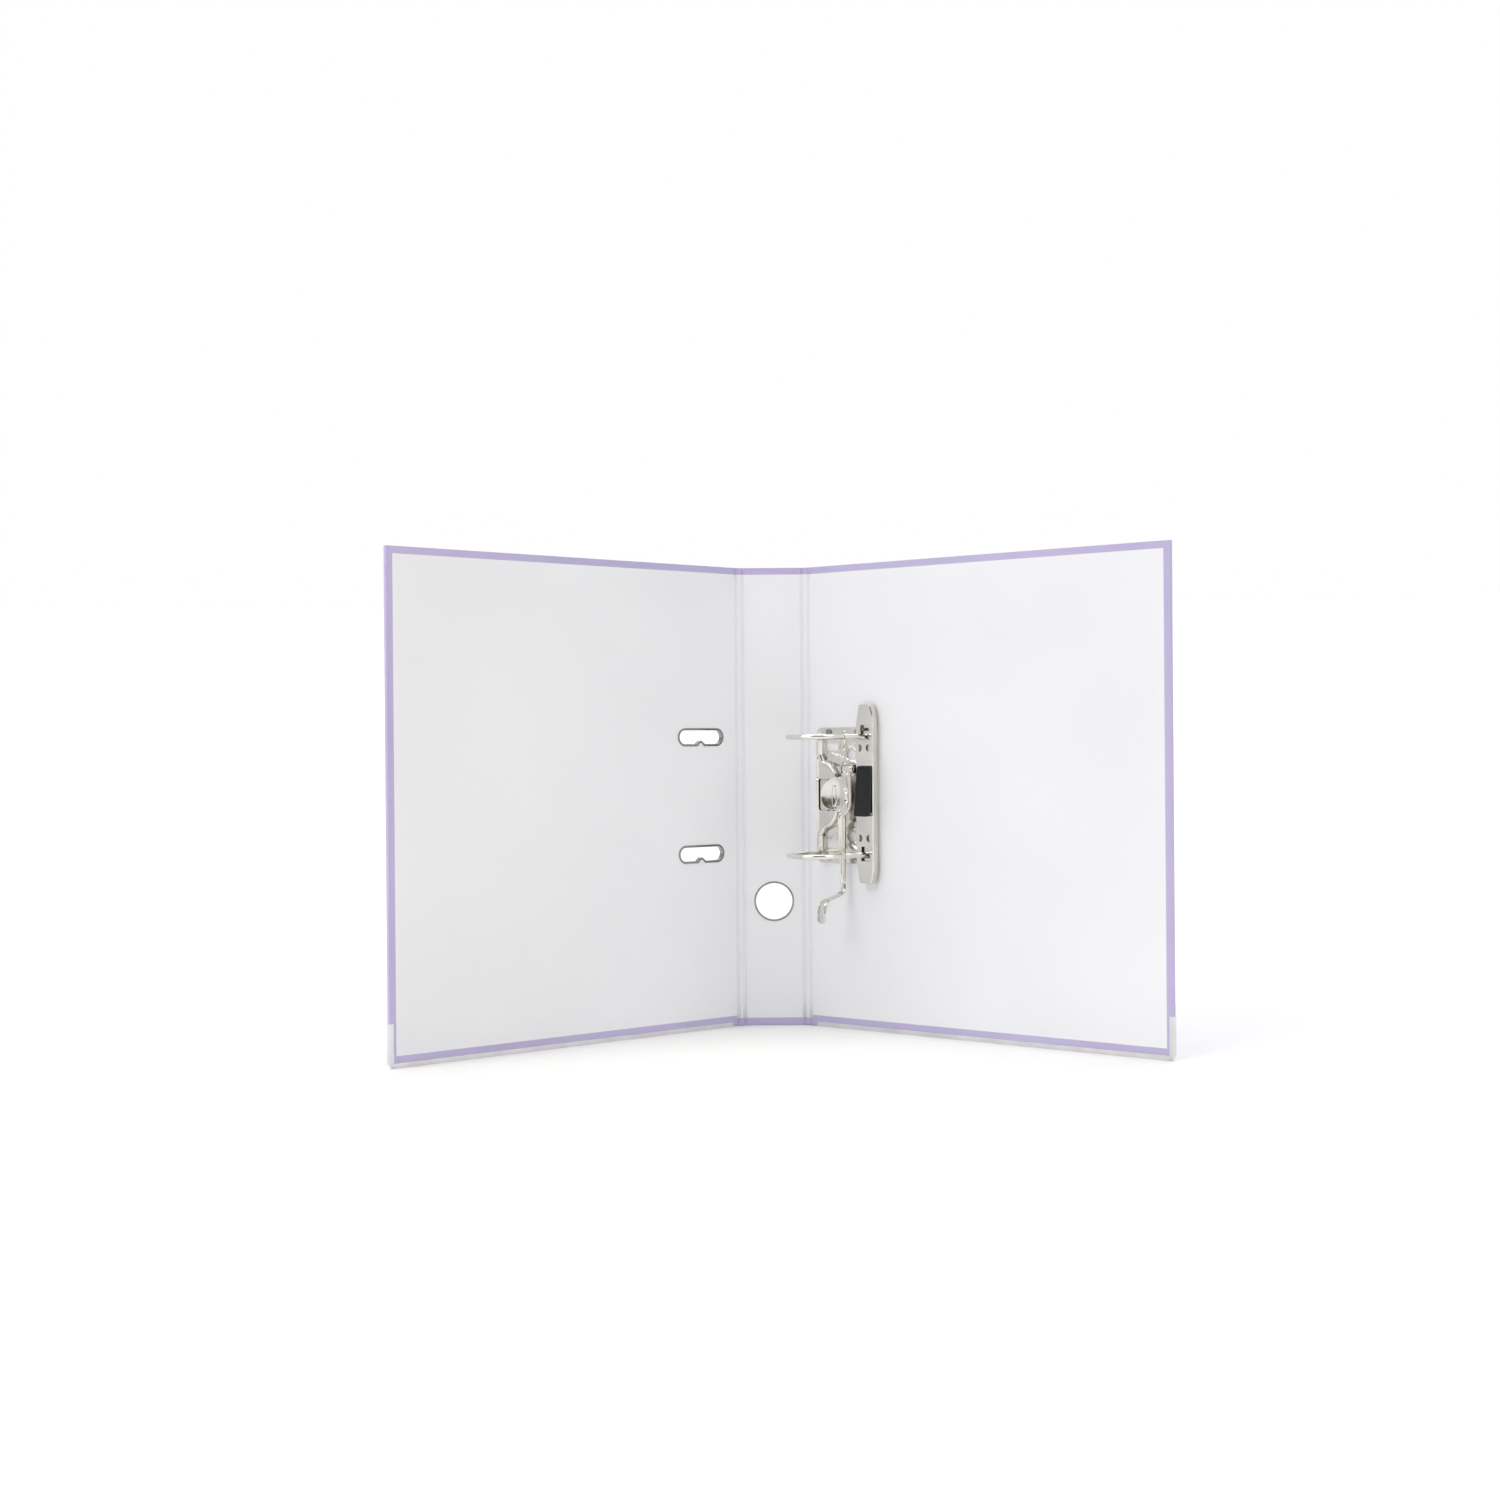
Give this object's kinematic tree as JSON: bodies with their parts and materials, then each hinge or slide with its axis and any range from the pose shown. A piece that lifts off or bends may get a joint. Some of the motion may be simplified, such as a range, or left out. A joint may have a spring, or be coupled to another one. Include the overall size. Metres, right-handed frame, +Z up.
{
  "type": "lever arch file",
  "caption": "Tall board file with folding covers, spine finger ring, slotted front cover and a lever-operated arch mechanism with a sliding paper clamp.",
  "frame": {"origin": "middle of the footprint, on the ground under the standing file", "axes": "+Z up along the spine, +X to the right seen from the inside, the inside of the open file faces -Y"},
  "size_m": [0.4818, 0.187, 0.3183],
  "materials": {
    "greyboard": "matte",
    "outer_wrap": "satin",
    "white_lining": "satin",
    "label_paper": "matte",
    "edge_nickel": "satin",
    "nickel_wire": "polished",
    "nickel_sheet": "polished",
    "nickel_trim": "polished",
    "black_plastic": "satin"
  },
  "bodies": {
    "spine": {"spine_board": "greyboard", "spine_wrap": "outer_wrap", "spine_lining": "white_lining", "finger_ring": "nickel_trim", "finger_ring_washer": "nickel_trim", "spine_label": "label_paper"},
    "front_strip": {"front_hinge_board": "greyboard", "front_hinge_wrap": "outer_wrap", "front_hinge_lining": "white_lining"},
    "front_cover": {"front_board": "greyboard", "front_wrap": "outer_wrap", "front_lining": "white_lining", "front_edge_protector": "edge_nickel", "arch_slot_eyelet_lower": "nickel_trim", "arch_slot_eyelet_upper": "nickel_trim"},
    "back_strip": {"back_hinge_board": "greyboard", "back_hinge_wrap": "outer_wrap", "back_hinge_lining": "white_lining"},
    "back_cover": {"back_board": "greyboard", "back_wrap": "outer_wrap", "back_lining": "white_lining", "back_edge_protector": "edge_nickel", "base_plate": "nickel_sheet", "mechanism_rivets": "nickel_trim", "post_lower": "nickel_wire", "post_upper": "nickel_wire", "lever_pin": "nickel_trim"},
    "arch": {"arch_wire": "nickel_wire"},
    "lever": {"lever": "nickel_sheet"},
    "compressor": {"compressor_bar": "nickel_sheet", "compressor_clamp_lower": "nickel_sheet", "compressor_clamp_upper": "nickel_sheet", "grip_pin": "nickel_trim"},
    "release_grip": {"compressor_grip": "black_plastic"}
  },
  "joints": [
    {"name": "front_strip_crease", "type": "hinge", "parent": "spine", "child": "front_strip", "pos_m": [-0.02125, 0.09304, 0.00035], "axis": [0, 0, 1], "range_deg": [-20.21, 24.79]},
    {"name": "front_cover_fold", "type": "hinge", "parent": "front_strip", "child": "front_cover", "pos_m": [-0.02651, 0.0911, 0.00035], "axis": [0, 0, 1], "range_deg": [-20.21, 24.79]},
    {"name": "back_strip_crease", "type": "hinge", "parent": "spine", "child": "back_strip", "pos_m": [0.02125, 0.09304, 0.00035], "axis": [0, 0, -1], "range_deg": [-20.21, 24.79]},
    {"name": "back_cover_fold", "type": "hinge", "parent": "back_strip", "child": "back_cover", "pos_m": [0.02651, 0.0911, 0.00035], "axis": [0, 0, -1], "range_deg": [-20.21, 24.79]},
    {"name": "lever_swing", "type": "hinge", "parent": "back_cover", "child": "lever", "pos_m": [0.05062, 0.05835, 0.17835], "axis": [0.7613, -0.6484, 0], "range_deg": [-62, 0]},
    {"name": "arch_turn", "type": "hinge", "parent": "back_cover", "child": "arch", "pos_m": [0.03253, 0.07875, 0.16035], "axis": [0, 0, 1], "range_deg": [-62, 0]},
    {"name": "compressor_slide", "type": "slide", "parent": "back_cover", "child": "compressor", "axis": [-0.6484, -0.7613, 0], "range_m": [0, 0.02]},
    {"name": "grip_press", "type": "hinge", "parent": "compressor", "child": "release_grip", "pos_m": [0.06316, 0.05056, 0.17735], "axis": [0.7613, -0.6484, 0], "range_deg": [0, 5], "stiffness_Nm_per_rad": 0.2}
  ],
  "couplings": [
    {"joint": "front_strip_crease", "follows": "front_cover_fold", "ratio": 1},
    {"joint": "back_strip_crease", "follows": "back_cover_fold", "ratio": 1},
    {"joint": "arch_turn", "follows": "lever_swing", "ratio": 1}
  ]
}
